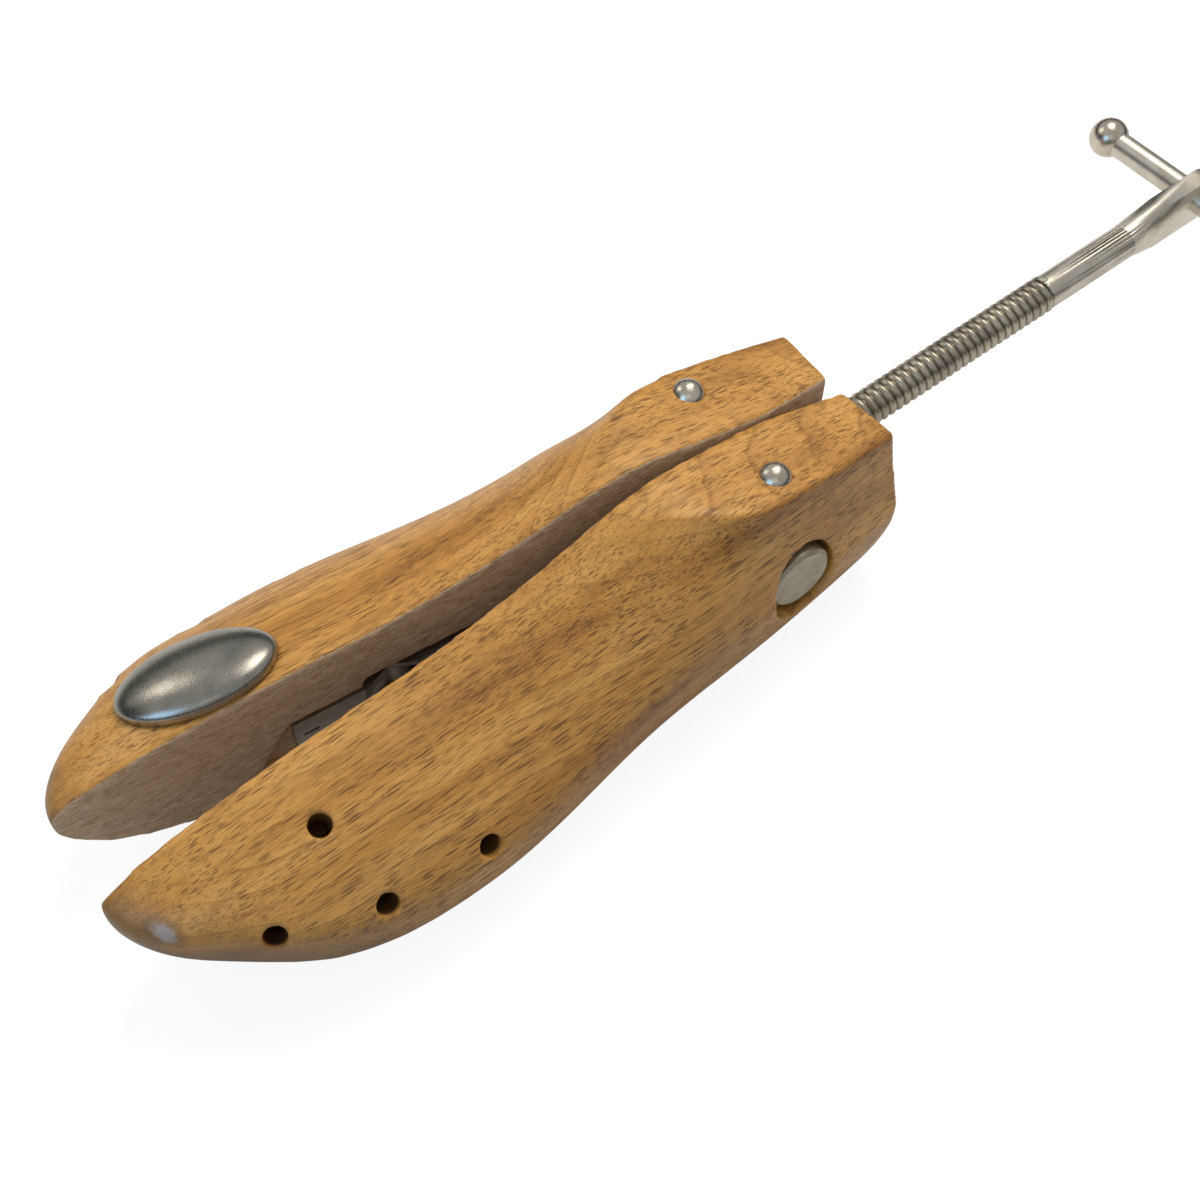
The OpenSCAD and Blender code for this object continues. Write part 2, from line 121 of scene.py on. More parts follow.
def selectWhere(obj, kind, test):
    # selects the vertices or faces whose middle passes the test, in edit mode
    bpy.ops.mesh.select_mode(type=kind)
    bpy.ops.mesh.select_all(action="DESELECT")
    bpy.ops.object.mode_set(mode="OBJECT")
    for part in obj.data.vertices if kind == "VERT" else obj.data.polygons:
        part.select = bool(test(part.co if kind == "VERT" else part.center))
    bpy.ops.object.mode_set(mode="EDIT")


def smoothWhere(obj, repeat, test):
    selectWhere(obj, "VERT", test)
    bpy.ops.mesh.vertices_smooth(factor=0.5, repeat=repeat)


class Shader:
    # a small writer for node trees
    def __init__(self, name):
        self.mat = bpy.data.materials.new(name)
        self.mat.use_nodes = True
        self.tree = self.mat.node_tree
        self.bsdf = self.tree.nodes["Principled BSDF"]

    def add(self, kind, **settings):
        node = self.tree.nodes.new(kind)
        for key, value in settings.items():
            setattr(node, key, value)
        return node

    def link(self, source, target):
        self.tree.links.new(source, target)

    def feed(self, socket, value):
        if isinstance(value, bpy.types.NodeSocket):
            self.link(value, socket)
        else:
            socket.default_value = value

    def math(self, operation, a, b=0.0, clamp=False):
        node = self.add("ShaderNodeMath", operation=operation, use_clamp=clamp)
        self.feed(node.inputs[0], a)
        self.feed(node.inputs[1], b)
        return node.outputs[0]

    def plus(self, a, b):
        return self.math("ADD", a, b)

    def minus(self, a, b):
        return self.math("SUBTRACT", a, b)

    def times(self, a, b):
        return self.math("MULTIPLY", a, b)

    def vector(self, operation, a, b=(0, 0, 0)):
        node = self.add("ShaderNodeVectorMath", operation=operation)
        self.feed(node.inputs[0], a)
        self.feed(node.inputs[1], b)
        return node.outputs["Value" if operation in ("LENGTH", "DOT_PRODUCT", "DISTANCE") else "Vector"]

    def stretch(self, vector, factors):
        return self.vector("MULTIPLY", vector, factors)

    def mapping(self, vector, location=(0, 0, 0), rotation=(0, 0, 0)):
        node = self.add("ShaderNodeMapping")
        self.feed(node.inputs["Vector"], vector)
        node.inputs["Location"].default_value = location
        node.inputs["Rotation"].default_value = rotation
        return node.outputs["Vector"]

    def objectMm(self):
        # object coordinates in millimetres
        coords = self.add("ShaderNodeTexCoord").outputs["Object"]
        return self.stretch(coords, (1000, 1000, 1000))

    def facing(self, direction):
        return self.vector("DOT_PRODUCT", self.add("ShaderNodeNewGeometry").outputs["True Normal"], direction)

    def noise(self, vector, scale, detail, roughness=0.5, output="Fac"):
        node = self.add("ShaderNodeTexNoise")
        self.feed(node.inputs["Vector"], vector)
        node.inputs["Scale"].default_value = scale
        node.inputs["Detail"].default_value = detail
        node.inputs["Roughness"].default_value = roughness
        return node.outputs[output]

    def streaks(self, vector, factors, detail, roughness=0.5):
        return self.noise(self.stretch(vector, factors), 1.0, detail, roughness)

    def ramp(self, fac, stops):
        # each stop is a place and a colour, or a place and a grey
        node = self.add("ShaderNodeValToRGB")
        items = node.color_ramp.elements
        while len(items) < len(stops):
            items.new(0.5)
        for item, (place, colour) in zip(items, stops):
            item.position = place
            item.color = (*colour, 1) if isinstance(colour, tuple) else (colour, colour, colour, 1)
        self.feed(node.inputs["Fac"], fac)
        return node.outputs["Color"]

    def step(self, fac, low, high):
        node = self.add("ShaderNodeMapRange", interpolation_type="SMOOTHSTEP")
        self.feed(node.inputs["Value"], fac)
        self.feed(node.inputs["From Min"], low)
        self.feed(node.inputs["From Max"], high)
        return node.outputs["Result"]

    def mix(self, fac, a, b, blend="MIX"):
        node = self.add("ShaderNodeMix", data_type="RGBA", blend_type=blend)
        self.feed(node.inputs["Factor"], fac)
        for socket, value in ((node.inputs[6], a), (node.inputs[7], b)):
            self.feed(socket, (*value, 1) if isinstance(value, tuple) else value)
        return node.outputs[2]

    def bump(self, height, strength, distance):
        node = self.add("ShaderNodeBump")
        self.feed(node.inputs["Height"], height)
        node.inputs["Strength"].default_value = strength
        node.inputs["Distance"].default_value = distance
        self.link(node.outputs["Normal"], self.bsdf.inputs["Normal"])


def srgb(*screen):
    # screen colour, 0 to 255, as linear light
    shares = [value / 255 for value in screen]
    return tuple(c / 12.92 if c <= 0.04045 else ((c + 0.055) / 1.055) ** 2.4 for c in shares)


def setMaterial(obj, mat):
    obj.data.materials.clear()
    obj.data.materials.append(mat)


# Varnished wood, seen on the closed left half in mm. Shares say how strongly a layer covers.
wood = {
    "light": srgb(210, 158, 84),
    "honey": srgb(190, 136, 62),
    "brown": srgb(152, 101, 40),
    "streak": srgb(120, 76, 30),
    "streakShare": 0.3,             # broad dark streaks
    "lineShare": 0.4,               # narrow ones
    "fibreShare": 0.36,
    "sway": 4,                      # how far the grain wanders
    "ringLine": srgb(128, 82, 30),
    "ringShare": 0.6,
    "ringAxis": (6, -64),           # heart of the trunk from the half's middle, across and up
    "ringStep": 2.2,                # growth ring width
    "ringProfile": ((0.0, 0.2), (0.03, 0.0), (0.5, 0.08), (0.86, 0.4), (0.965, 1.0), (1.0, 0.2)),
    "pore": srgb(76, 44, 16),
    "poreShare": 0.85,
    "poreLayers": (                 # along, across, size, weight, and what is left where pores are few
        (0.11, 1.6, 0.38, 0.9, 0.75),
        (0.15, 2.2, 0.38, 0.85, 0.6),
        (0.13, 2.9, 0.4, 0.7, 0.5),
        (0.27, 3.8, 0.36, 0.55, 0.3),
    ),
    "wornTip": srgb(100, 72, 42),
    # colour the toe takes towards the bottom of its sides
    "wornUnder": srgb(124, 97, 68),
    # painted reflection on a worn spot under the toe: its place, its pale grey and its darker ring
    "bareSpot": (-163.8, -15.0, 29.6),
    "bareWood": srgb(168, 160, 157),
    "bareRim": srgb(112, 84, 56),
    # painted shade inside the plug holes
    "holeDark": srgb(70, 48, 28),
    "holeMiddle": 5.5,              # middle of a hole's painted shade, below its mouth
    "sawn": srgb(212, 184, 152),
    "sawnDark": srgb(156, 124, 90),
    "sawnSpeck": srgb(236, 216, 186),
    "roughness": 0.36,
    "sawnRoughness": 0.95,
    "coat": 0.3,
    "coatRoughness": 0.28,
    "bumpHeight": 0.00022,
}


def closedPlace(s, side):
    # places as they lie on the closed left half, so that the pattern doesn't turn with a half
    angle = side * math.radians(mech["restOpen"])
    pivot = Vector((0, side * mech["pivotY"], 0))
    shift = pivot - Matrix.Rotation(angle, 3, "Z") @ pivot
    place = s.mapping(s.objectMm(), location=shift, rotation=(0, 0, angle))
    return place if side < 0 else s.stretch(place, (1, -1, 1))


def growthRings(s, own, grain):
    # rings round an axis below the sole, here and there fainter
    across, up = wood["ringAxis"]
    fromHeart = s.vector("ADD", grain, (0, across + mech["pivotY"], -up))
    radius = s.vector("LENGTH", s.stretch(fromHeart, (0, 1, 1)))
    wobble = s.streaks(own, (0.02, 0.06, 0.06), 3.0)
    count = s.plus(s.math("DIVIDE", radius, wood["ringStep"]), s.times(wobble, 1.2))
    line = s.ramp(s.math("FRACT", count), wood["ringProfile"])
    fade = s.ramp(s.streaks(own, (0.02, 0.05, 0.05), 1.0), ((0.35, 0.25), (0.65, 1.0)))
    return s.times(line, fade)


def openPores(s, own, grain):
    # slim dark dashes along the grain, weaker where the surface cuts across it
    flatter = s.step(s.math("ABSOLUTE", s.facing((1, 0, 0))), 0.5, 0.12)
    kept = s.plus(0.35, s.times(flatter, 0.65))
    crowd = s.step(s.streaks(own, (0.03, 0.13, 0.13), 2.0), 0.36, 0.58)
    pores = None
    for along, across, size, weight, spare in wood["poreLayers"]:
        moved = s.vector("ADD", grain, (along * 91, across * 17, 3))
        cell = s.add("ShaderNodeTexVoronoi")
        s.link(s.stretch(moved, (along, across, across * 0.8)), cell.inputs["Vector"])
        cell.inputs["Scale"].default_value = 1.0
        chance = s.add("ShaderNodeSeparateColor")
        s.link(cell.outputs["Color"], chance.inputs[0])
        reach = s.times(s.plus(s.times(chance.outputs[0], 0.9), 0.3), size)
        dash = s.step(cell.outputs["Distance"], reach, s.times(reach, 0.55))
        strength = s.plus(spare, s.times(crowd, 1 - spare))
        dash = s.times(s.times(dash, strength), s.times(kept, weight))
        pores = dash if pores is None else s.math("MAXIMUM", pores, dash)
    return pores


def sawnFace(s, place, x, across, side):
    # where the raw sawn inner face shows, with a torn edge
    knee = mech["kneeX"]
    slope = (mech["rearRelief"] - mech["halfGap"] - 0.6) / (mech["rearReach"] - knee)
    fall = s.times(s.math("MAXIMUM", s.minus(x, knee), 0), slope)
    bend = s.times(s.math("DIVIDE", s.minus(x, 2), knee - 2, clamp=True), 0.6)
    depth = s.minus(s.minus(across, mech["halfGap"]), s.plus(fall, bend))
    torn = s.streaks(place, (0.9, 1.4, 1.4), 4.0, 0.7)
    near = s.step(s.minus(depth, s.times(s.minus(torn, 0.5), 2.4)), 0.42, 0.16)
    flat = s.times(s.step(s.facing((0, -side, 0)), 0.55, 0.8), s.step(across, 14.0, 12.0))
    return s.math("MAXIMUM", near, flat)


def woodMaterial(name, nodeName, side, seed):
    s = Shader(name)
    place = closedPlace(s, side)
    split = s.add("ShaderNodeSeparateXYZ")
    s.link(place, split.inputs[0])
    x, y, z = split.outputs
    across = s.times(y, -1)
    own = s.vector("ADD", place, (seed * 37.0, seed * 11.0, seed * 5.0))    # no two halves alike
    sway = s.noise(s.stretch(own, (0.010, 0.03, 0.03)), 1.0, 2.0, output="Color")
    swing = s.stretch(s.vector("SUBTRACT", sway, (0.5, 0.5, 0.5)), (0, wood["sway"], wood["sway"]))
    grain = s.vector("ADD", place, swing)

    # broad lighter and darker bands, streaks, rings, fine fibres and pores
    band = s.streaks(grain, (0.012, 0.11, 0.11), 3.0, 0.55)
    fibre = s.streaks(grain, (0.10, 2.6, 2.6), 3.0, 0.6)
    streak = s.step(s.streaks(grain, (0.022, 0.42, 0.42), 3.0, 0.6), 0.5, 0.7)
    line = s.step(s.streaks(grain, (0.05, 1.3, 1.3), 4.0, 0.65), 0.5, 0.66)
    colour = s.ramp(band, ((0.28, wood["brown"]), (0.47, wood["honey"]), (0.72, wood["light"])))
    colour = s.mix(s.times(streak, wood["streakShare"]), colour, wood["streak"])
    colour = s.mix(s.times(line, wood["lineShare"]), colour, wood["streak"])
    colour = s.mix(s.times(growthRings(s, own, grain), wood["ringShare"]), colour, wood["ringLine"])
    colour = s.mix(wood["fibreShare"], colour, s.ramp(fibre, ((0.3, 0.6), (0.7, 1.25))), "MULTIPLY")
    pores = openPores(s, own, grain)
    colour = s.mix(s.times(pores, wood["poreShare"]), colour, wood["pore"])

    # toe worn dark at the tip, and darker towards the bottom of its sides
    tip = s.step(s.plus(x, s.times(s.noise(own, 0.12, 3.0), 14)), -152.0, -166.0)
    height = s.plus(s.plus(z, s.times(x, 0.12)), s.times(s.noise(own, 0.1, 3.0), 10))
    under = s.times(s.step(height, 18.0, 6.0), s.step(x, -105.0, -150.0))
    colour = s.mix(s.times(tip, 0.5), colour, wood["wornTip"])
    colour = s.mix(s.times(under, 0.7), colour, wood["wornUnder"])

    if side < 0:
        # painted reflection: a worn spot under the toe painted pale grey as the glint it shows, with a darker
        # ring round it
        fromSpot = s.stretch(s.vector("SUBTRACT", place, wood["bareSpot"]), (1.05, 0.45, 1.2))
        uneven = s.times(s.minus(s.noise(place, 0.8, 3.0), 0.5), 2.2)
        ragged = s.plus(s.vector("LENGTH", fromSpot), uneven)
        colour = s.mix(s.times(s.step(ragged, 4.2, 2.6), 0.5), colour, wood["bareRim"])
        colour = s.mix(s.times(s.step(ragged, 2.6, 1.0), 0.85), colour, wood["bareWood"])

    # painted shade: the plug holes are darkened inside, where shade falls
    for mouth, outward in halfFinish["holes"][nodeName]:
        middle = tuple(at / mm - wood["holeMiddle"] * out for at, out in zip(mouth, outward))
        away = s.vector("DISTANCE", place, middle)
        colour = s.mix(s.times(s.step(away, 5.9, 5.0), 0.8), colour, wood["holeDark"])

    # sawn inner face, greyer and rough
    inner = sawnFace(s, place, x, across, side)
    sawMarks = s.streaks(place, (0.35, 0.8, 1.6), 4.0, 0.65)
    specks = s.step(s.streaks(place, (1.1, 1, 3.0), 3.0, 0.7), 0.56, 0.68)
    sawn = s.ramp(sawMarks, ((0.3, wood["sawnDark"]), (0.68, wood["sawn"])))
    sawn = s.mix(s.times(specks, 0.55), sawn, wood["sawnSpeck"])
    s.link(s.mix(inner, colour, sawn), s.bsdf.inputs["Base Color"])

    rough = s.plus(wood["roughness"], s.times(s.noise(own, 0.08, 3.0), 0.16))
    rough = s.plus(rough, s.times(pores, 0.2))
    s.link(s.mix(inner, rough, (wood["sawnRoughness"],) * 3), s.bsdf.inputs["Roughness"])
    s.bsdf.inputs["Coat Weight"].default_value = wood["coat"]
    s.bsdf.inputs["Coat Roughness"].default_value = wood["coatRoughness"]
    s.bsdf.inputs["Specular IOR Level"].default_value = 0.4
    relief = s.minus(s.times(fibre, 0.12), s.times(pores, 0.6))
    relief = s.plus(relief, s.times(inner, s.times(sawMarks, 3.0)))
    s.bump(relief, 0.5, wood["bumpHeight"])
    return s.mat


print("stage: wooden halves")
sideHoles = (
    ((-0.0998, -0.0372, 0.0225), (0, -0.85, 0.53)),
    ((-0.1246, -0.0351, 0.0236), (-0.10, -0.83, 0.54)),
    ((-0.1465, -0.0273, 0.0262), (-0.34, -0.72, 0.60)),
)
halfFinish = {
    "grid": 0.56 * mm,              # mesh size
    "keep": 0.62,                   # share of the faces kept, so that a half stays light
    "firstSoften": 3,               # smoothing rounds: everywhere, then clear of the holes
    "soften": 9,
    "curveSoften": 34,              # on the long curves, which lie in front of curveEnd
    "curveEnd": -30 * mm,
    "splitMargin": 2.8 * mm,        # kept sharp along the split
    "holeMargin": 4.2 * mm,         # and round a plug hole's mouth
    "toeSoften": 14,
    "toeLength": 9 * mm,
    "cornerSoften": 80,             # the right half's flat top is sanded rounder in one corner
    "cornerFront": -32 * mm,
    "cornerBack": -3 * mm,
    "cornerAcross": 18 * mm,
    "cornerUp": 37 * mm,
    # mouths of the plug holes on the closed half, and the way out of each
    "holes": {
        "left_half": (((-0.1275, -0.0174, 0.0360), (0, -0.34, 0.94)), *sideHoles),
        "right_half": (((-0.1308, -0.0126, 0.0369), (-0.075, -0.274, 0.959)), *sideHoles),
    },
}


def closedFrame(side):
    # brings a point of a half at rest to the left half's closed place
    pivot = Matrix.Translation((0, -mech["pivotY"] * mm, 0))
    close = pivot @ Matrix.Rotation(-math.radians(mech["restOpen"]), 4, "Z") @ pivot.inverted()
    return close if side < 0 else close @ Matrix.Scale(-1, 4, (0, 1, 0))


for nodeName, side, seed in (("left_half", -1, 1.0), ("right_half", 1, 2.3)):
    piece = copyOfNode(frame["nodes"][nodeName], nodeName.replace("_", "") + "Wood")
    bpy.ops.object.mode_set(mode="OBJECT")
    grid = piece.modifiers.new("evenMesh", "REMESH")
    grid.mode = "VOXEL"
    grid.voxel_size = halfFinish["grid"]
    applyModifiers(piece)

    # sanded edges, and a toe tip rounded further
    bpy.ops.object.mode_set(mode="EDIT")
    toClosed = closedFrame(side)
    mouths = [Vector(mouth) for mouth, outward in halfFinish["holes"][nodeName]]
    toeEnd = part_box(nodeName)[0].x + halfFinish["toeLength"]

    def isClear(at):
        here = toClosed @ at
        return all((here - mouth).length > halfFinish["holeMargin"] for mouth in mouths)

    def isCurved(at):
        here = toClosed @ at
        return here.x < halfFinish["curveEnd"] and here.y < -halfFinish["splitMargin"] and isClear(at)

    def isCorner(at):
        along = halfFinish["cornerFront"] < at.x < halfFinish["cornerBack"]
        return along and at.y > halfFinish["cornerAcross"] and at.z > halfFinish["cornerUp"]

    smoothWhere(piece, halfFinish["firstSoften"], lambda at: True)
    smoothWhere(piece, halfFinish["soften"], isClear)
    smoothWhere(piece, halfFinish["curveSoften"], isCurved)
    smoothWhere(piece, halfFinish["toeSoften"], lambda at: at.x < toeEnd)
    if side > 0:
        smoothWhere(piece, halfFinish["cornerSoften"], isCorner)
    bpy.ops.object.mode_set(mode="OBJECT")
    lighter = piece.modifiers.new("lighter", "DECIMATE")
    lighter.ratio = halfFinish["keep"]
    applyModifiers(piece)
    bpy.ops.object.shade_smooth()
    print("stage:", piece.name, len(piece.data.polygons), "faces")
    woodName = "varnishedWood" + ("Left" if side < 0 else "Right")
    setMaterial(piece, woodMaterial(woodName, nodeName, side, seed))
    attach(piece, nodeName)
    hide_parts(nodeName)

print("stage: screw with its thread")
rod = {
    "root": 4.3 * mm,
    "crest": 4.9 * mm,
    "pitch": 2.5 * mm,
    "threadStart": -44 * mm,        # along the screw from the cross bar
    "threadEnd": 109 * mm,
    "turnSteps": 40,
    # one wave of the thread: share of the pitch, share of its height
    "wave": ((0.0, 0.0), (0.10, 0.12), (0.24, 0.62), (0.38, 0.95), (0.5, 1.0),
             (0.62, 0.95), (0.76, 0.62), (0.90, 0.12), (1.0, 0.0)),
}
screwNode = frame["nodes"]["screw_rod"]
# frame whose X runs along the screw, from the bar's centre
barCentre = Matrix.Translation((0, 0, mech["barHeight"] * mm))
screwFrame = barCentre @ Matrix.Rotation(-math.radians(mech["screwTilt"]), 4, "Y")
toRod = screwFrame.inverted()


def alongRod(distance):
    return screwFrame @ Matrix.Translation((distance, 0, 0))


def rodPiece(name, cutAt, clearInner):
    # part of the CAD rod on one side of a cut square to the screw
    part = copyOfNode(screwNode, name)
    bpy.ops.mesh.select_all(action="SELECT")
    bpy.ops.mesh.bisect(
        plane_co=screwFrame @ Vector((cutAt, 0, 0)), plane_no=screwFrame.to_3x3() @ Vector((1, 0, 0)),
        use_fill=True, clear_inner=clearInner, clear_outer=not clearInner,
    )
    bpy.ops.object.mode_set(mode="OBJECT")
    return part


neck = rodPiece("rodNeck", rod["threadStart"], False)
shank = rodPiece("rodShank", rod["threadEnd"] - 0.6 * rod["pitch"], True)

# thread: one wave of the profile, turned and advanced together
threadLength = rod["threadEnd"] - rod["threadStart"]
deselect()
bpy.ops.mesh.primitive_plane_add(size=1)
thread = named("rodThread")
bpy.ops.object.mode_set(mode="EDIT")
selectWhere(thread, "VERT", lambda at: at.x > 0 or at.y > 0)
bpy.ops.mesh.delete(type="VERT")
last = Vector((-0.5, -0.5, 0))      # the corner of the plane that is left
bpy.ops.mesh.select_all(action="SELECT")
for step, (share, lift) in enumerate(rod["wave"]):
    here = Vector((share * rod["pitch"], 0, rod["root"] + lift * (rod["crest"] - rod["root"])))
    if step:
        bpy.ops.mesh.extrude_vertices_move(TRANSFORM_OT_translate={"value": here - last})
    else:
        bpy.ops.transform.translate(value=here - last)
    last = here
bpy.ops.object.mode_set(mode="OBJECT")
winding = thread.modifiers.new("winding", "SCREW")
winding.axis = "X"
winding.angle = 2 * math.pi
winding.screw_offset = rod["pitch"]
winding.iterations = int(threadLength / rod["pitch"])
winding.steps = rod["turnSteps"]
winding.render_steps = rod["turnSteps"]
winding.use_merge_vertices = True
winding.merge_threshold = mergeReach / 2
applyModifiers(thread)
settle(thread, alongRod(rod["threadStart"] - 0.4 * rod["pitch"]))

# core inside the thread, and all four parts as one rod
deselect()
bpy.ops.mesh.primitive_cylinder_add(
    vertices=rod["turnSteps"], radius=rod["root"] + 0.02 * mm, depth=threadLength)
core = named("rodCore")
coreMiddle = (rod["threadEnd"] + rod["threadStart"]) / 2
settle(core, alongRod(coreMiddle) @ Matrix.Rotation(math.pi / 2, 4, "Y"))
deselect()
for part in (core, shank, neck, thread):
    part.select_set(True)
bpy.context.view_layer.objects.active = thread
bpy.ops.object.join()
threadedRod = named("threadedRod")
bpy.ops.object.mode_set(mode="EDIT")
bpy.ops.mesh.select_all(action="SELECT")
bpy.ops.mesh.normals_make_consistent(inside=False)
bpy.ops.object.mode_set(mode="OBJECT")
bpy.ops.object.shade_smooth_by_angle(angle=math.radians(40))
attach(threadedRod, "screw")
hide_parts("screw_rod")

print("stage: metals")
# base colour, the colour of its patches, their size per mm and share, roughness and how far it varies.
# brush is the stretch of brushed lines; the last entry is the inner and outer radius on the screw of painted
# shade in the thread's roots, and its colour.
finishes = {
    "rubbedSteel": {
        "base": srgb(236, 231, 218), "patches": srgb(196, 187, 170), "patchSize": 0.16, "patchShare": 0.5,
        "rough": 0.34, "roughSpread": 0.14, "bumpHeight": 0.00003,
    },
    "oiledSteel": {
        "base": srgb(206, 198, 180), "patches": srgb(150, 142, 128), "patchSize": 0.12, "patchShare": 0.6,
        # painted shade in the thread's roots: inner and outer radius, and its colour
        "rough": 0.34, "roughSpread": 0.16, "bumpHeight": 0.00003, "grime": (4.25, 4.65, srgb(124, 114, 98)),
    },
    "brushedBarEnd": {
        "base": srgb(196, 189, 168), "patches": srgb(158, 150, 130), "patchSize": 0.25, "patchShare": 0.5,
        "rough": 0.5, "roughSpread": 0.2, "bumpHeight": 0.00004, "brush": (0.3, 0.6, 3.0),
    },
    "polishedNickel": {
        "base": srgb(232, 224, 208), "patches": srgb(180, 170, 152), "patchSize": 0.3, "patchShare": 0.4,
        "rough": 0.17, "roughSpread": 0.06, "bumpHeight": 0.0002,
    },
    "tumbledSteel": {
        "base": srgb(184, 180, 170), "patches": srgb(142, 140, 134), "patchSize": 0.09, "patchShare": 0.75,
        "rough": 0.26, "roughSpread": 0.16, "bumpHeight": 0.00008,
    },
    "linkSteel": {
        "base": srgb(184, 178, 168), "patches": srgb(130, 124, 114), "patchSize": 0.2, "patchShare": 0.5,
        "rough": 0.42, "roughSpread": 0.2,
    },
}
nodeFinish = {
    "cross_bar": "brushedBarEnd", "handle_bar": "rubbedSteel", "handle_ends": "polishedNickel",
    "left_pivot_rivet": "polishedNickel", "right_pivot_rivet": "polishedNickel",
    "crosshead_washer": "polishedNickel", "oval_plug": "tumbledSteel", "oval_plug_stem": "tumbledSteel",
}


def metalMaterial(name, base, patches, patchSize, patchShare, rough, roughSpread,
                  bumpHeight=None, brush=None, grime=None):
    s = Shader(name)
    place = s.objectMm()
    patch = s.noise(place, patchSize, 4.0, 0.6)
    colour = s.mix(s.times(s.step(patch, 0.35, 0.65), patchShare), base, patches)
    if brush is not None:
        lines = s.streaks(place, brush, 3.0, 0.6)
        colour = s.mix(0.5, colour, s.ramp(lines, ((0.3, 0.6), (0.7, 1.15))), "MULTIPLY")
    if grime is not None:
        # painted shade: the thread's roots darker, found by distance from the screw's axis
        low, high, rootShadeColour = grime
        around = s.mapping(place, location=(0, 0, -mech["barHeight"]))
        around = s.mapping(around, rotation=(0, math.radians(mech["screwTilt"]), 0))
        away = s.vector("LENGTH", s.stretch(around, (0, 1, 1)))
        colour = s.mix(s.step(away, low, high), rootShadeColour, colour)
    s.link(colour, s.bsdf.inputs["Base Color"])
    s.bsdf.inputs["Metallic"].default_value = 1.0
    grainy = s.noise(place, 1.3, 5.0, 0.7)
    s.link(s.plus(rough - roughSpread / 2, s.times(grainy, roughSpread)), s.bsdf.inputs["Roughness"])
    if bumpHeight is not None:
        s.bump(grainy, 0.35, bumpHeight)
    return s.mat


metals = {name: metalMaterial(name, **values) for name, values in finishes.items()}
setMaterial(threadedRod, metals["oiledSteel"])
threadedRod.data.materials.append(metals["rubbedSteel"])
pick(threadedRod)
bpy.ops.object.mode_set(mode="EDIT")
selectWhere(threadedRod, "FACE", lambda at: (toRod @ at).x > rod["threadEnd"] - 0.4 * rod["pitch"])
threadedRod.active_material_index = 1
bpy.ops.object.material_slot_assign()
bpy.ops.object.mode_set(mode="OBJECT")
for nodeName, obj in frame["nodes"].items():
    if nodeName in ("left_half", "right_half", "screw_rod"):
        continue
    setMaterial(obj, metals[nodeFinish.get(nodeName, "linkSteel")])
    pick(obj)
    bpy.ops.object.shade_smooth_by_angle(angle=math.radians(30))

print("stage: floor and light")
studio = {
    "floorSize": 6.0,
    "floorColour": (0.6, 0.6, 0.6, 1),
    "floorDrop": 0.0002,            # floor below the sole
    "shadowShare": 0.25,            # how much of the floor's own shading the camera sees
    "paperLight": 1.2,
    "worldLight": 0.4,
    "aim": (-0.06, 0, 0.03),        # where lamps and cards face
}
deselect()
bpy.ops.mesh.primitive_plane_add(size=studio["floorSize"], location=(0, 0, -studio["floorDrop"]))
floor = named("floor")
f = Shader("paleFloor")
f.bsdf.inputs["Base Color"].default_value = studio["floorColour"]
f.bsdf.inputs["Roughness"].default_value = 0.9
paper = f.add("ShaderNodeEmission")
paper.inputs["Color"].default_value = (1, 1, 1, 1)
paper.inputs["Strength"].default_value = studio["paperLight"]
rays = f.add("ShaderNodeLightPath")
seen = f.math("MAXIMUM", rays.outputs["Is Camera Ray"], rays.outputs["Is Transmission Ray"])
blend = f.add("ShaderNodeMixShader")
f.link(f.times(seen, 1 - studio["shadowShare"]), blend.inputs[0])
f.link(f.bsdf.outputs[0], blend.inputs[1])
f.link(paper.outputs[0], blend.inputs[2])
f.link(blend.outputs[0], f.tree.nodes["Material Output"].inputs["Surface"])
setMaterial(floor, f.mat)

world = bpy.data.worlds.new("studioLight")
bpy.context.scene.world = world
world.use_nodes = True
sky = world.node_tree
background = sky.nodes["Background"]
lightPath = sky.nodes.new("ShaderNodeLightPath")
seenSky = sky.nodes.new("ShaderNodeMath")
seenSky.operation = "MAXIMUM"
sky.links.new(lightPath.outputs["Is Camera Ray"], seenSky.inputs[0])
sky.links.new(lightPath.outputs["Is Transmission Ray"], seenSky.inputs[1])
level = sky.nodes.new("ShaderNodeMapRange")
level.inputs["To Min"].default_value = studio["worldLight"]
level.inputs["To Max"].default_value = 1.0
sky.links.new(seenSky.outputs[0], level.inputs["Value"])
background.inputs["Color"].default_value = (1, 1, 1, 1)
sky.links.new(level.outputs["Result"], background.inputs["Strength"])

lamps = {
    # place, size, power, tint, seen in reflections
    "key": ((0.33, 0.25, 0.86), 0.5, 5.0, (1.0, 0.96, 0.9), False),
    "back": ((-0.19, 0.66, 0.58), 0.4, 1.2, (1.0, 0.95, 0.88), False),
    "rightWindow": ((0.31, 0.265, 0.83), 0.32, 0.95, (1.0, 0.93, 0.8), True),
    "leftWindow": ((-0.327, 0.68, 0.622), 0.2, 0.36, (1.0, 0.93, 0.8), True),
    "rodWindow": ((0.47, 0.295, 0.79), 0.26, 0.62, (1.0, 0.93, 0.8), True),
    "frontWindow": ((-0.36, -0.5, 0.74), 0.12, 0.08, (1.0, 0.95, 0.86), True),
    "topWindow": ((0.266, 0.065, 0.906), 0.26, 0.46, (1.0, 0.95, 0.86), True),
    "coolWindow": ((-0.78, -0.2, 0.5), 0.46, 1.1, (0.3, 0.6, 1.0), True),
}


def face(obj, axis):
    # turns a lamp or card to the object
    obj.rotation_euler = (Vector(studio["aim"]) - obj.location).to_track_quat(axis, "Y").to_euler()


for lampName, (place, size, power, tint, glossy) in lamps.items():
    data = bpy.data.lights.new(lampName, "AREA")
    data.size = size
    data.energy = power
    data.color = tint
    lamp = bpy.data.objects.new(lampName, data)
    bpy.context.collection.objects.link(lamp)
    lamp.location = place
    face(lamp, "-Z")
    lamp.visible_glossy = glossy

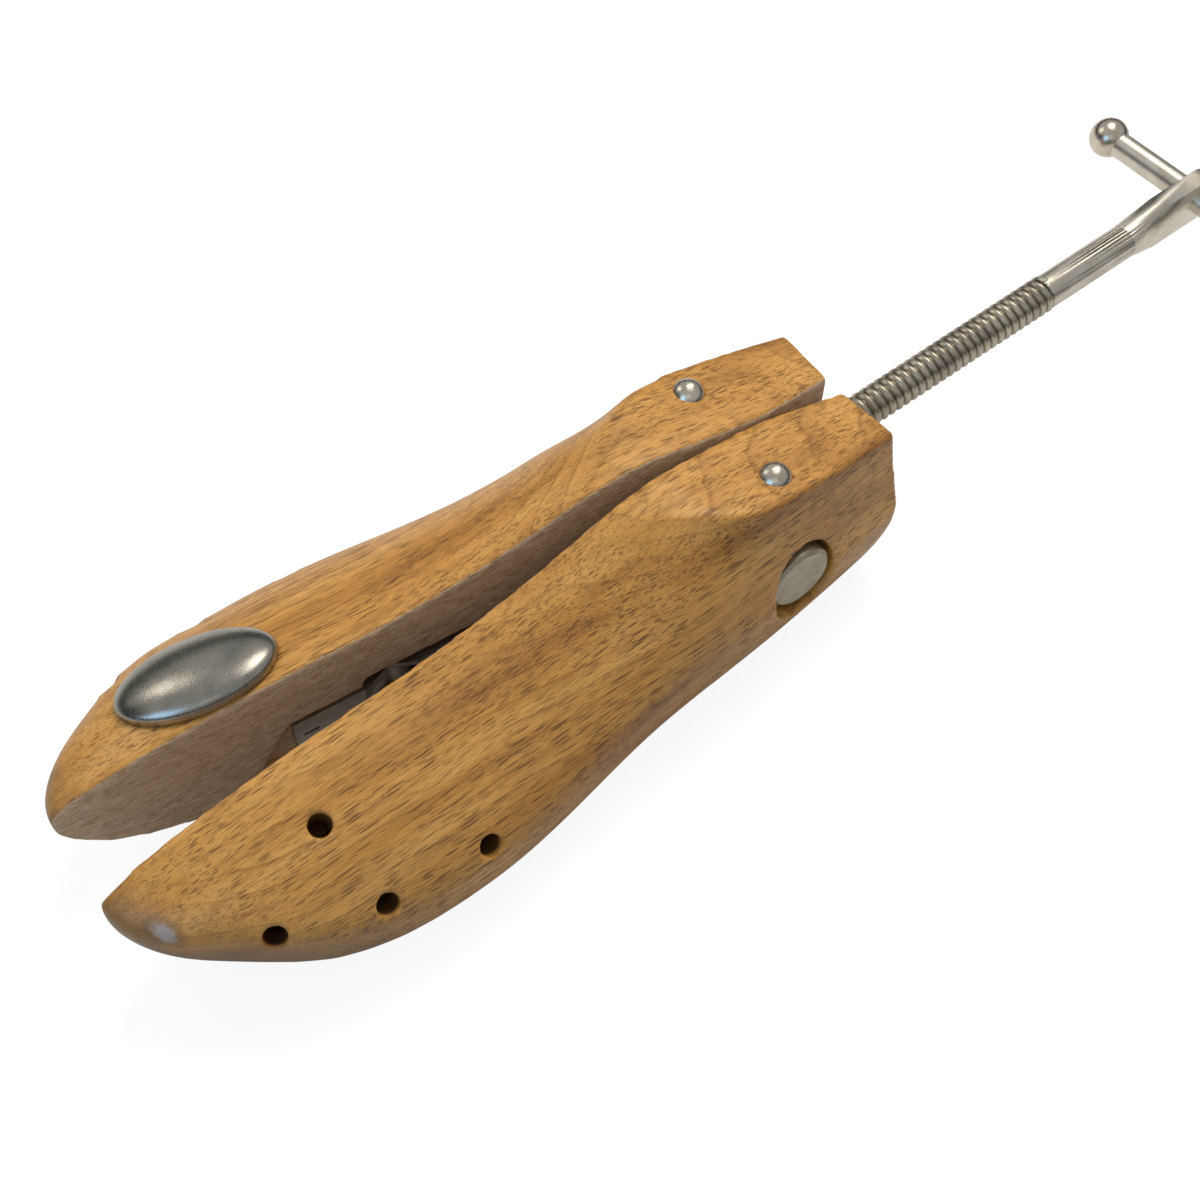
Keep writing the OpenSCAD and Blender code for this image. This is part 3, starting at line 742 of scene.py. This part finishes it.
# a dark card and a dark ring at the horizon that only reflections see, so that metals keep contrast
cards = {
    "colour": (0.07, 0.07, 0.075, 1),
    "leftPlace": (-0.7, 0.35, 0.30),
    "leftSize": 0.45,
    "ringRadius": 1.6,
    "ringHeight": 0.55,
}
cardMat = Shader("darkCard")
cardMat.bsdf.inputs["Base Color"].default_value = cards["colour"]
cardMat.bsdf.inputs["Roughness"].default_value = 0.9
deselect()
bpy.ops.mesh.primitive_plane_add(size=cards["leftSize"], location=cards["leftPlace"])
leftCard = named("leftCard")
face(leftCard, "Z")
deselect()
bpy.ops.mesh.primitive_cylinder_add(
    vertices=64, radius=cards["ringRadius"], depth=cards["ringHeight"], end_fill_type="NOTHING",
    location=(0, 0, cards["ringHeight"] / 2))
horizon = named("horizonCard")
for card in (leftCard, horizon):
    settle(card)
    card.visible_camera = False
    card.visible_diffuse = False
    card.visible_shadow = False
    setMaterial(card, cardMat.mat)

print("stage: camera")
shot = {
    "azimuth": -37.157, "elevation": 54.148, "roll": 1.092,     # degrees
    "distance": 0.3605, "target": (-0.04516, -0.01005, 0.03096),
    "focalPixels": 1569.5, "frameWidth": 1200, "sensor": 36,
}
az, el, roll = (math.radians(shot[k]) for k in ("azimuth", "elevation", "roll"))
back = Vector((math.sin(az) * math.cos(el), -math.cos(az) * math.cos(el), math.sin(el)))
flatRight = (-back).cross(Vector((0, 0, 1))).normalized()
flatUp = flatRight.cross(-back)
right = math.cos(roll) * flatRight + math.sin(roll) * flatUp
up = math.cos(roll) * flatUp - math.sin(roll) * flatRight
pose = Matrix((right, up, back)).transposed().to_4x4()
pose.translation = Vector(shot["target"]) + back * shot["distance"]
cameraData = bpy.data.cameras.new("camera")
cameraData.sensor_width = shot["sensor"]
cameraData.lens = shot["sensor"] * shot["focalPixels"] / shot["frameWidth"]
cameraData.clip_start = 0.01
camera = bpy.data.objects.new("camera", cameraData)
bpy.context.collection.objects.link(camera)
camera.matrix_world = pose
bpy.context.scene.camera = camera
bpy.context.scene.view_settings.view_transform = "Standard"
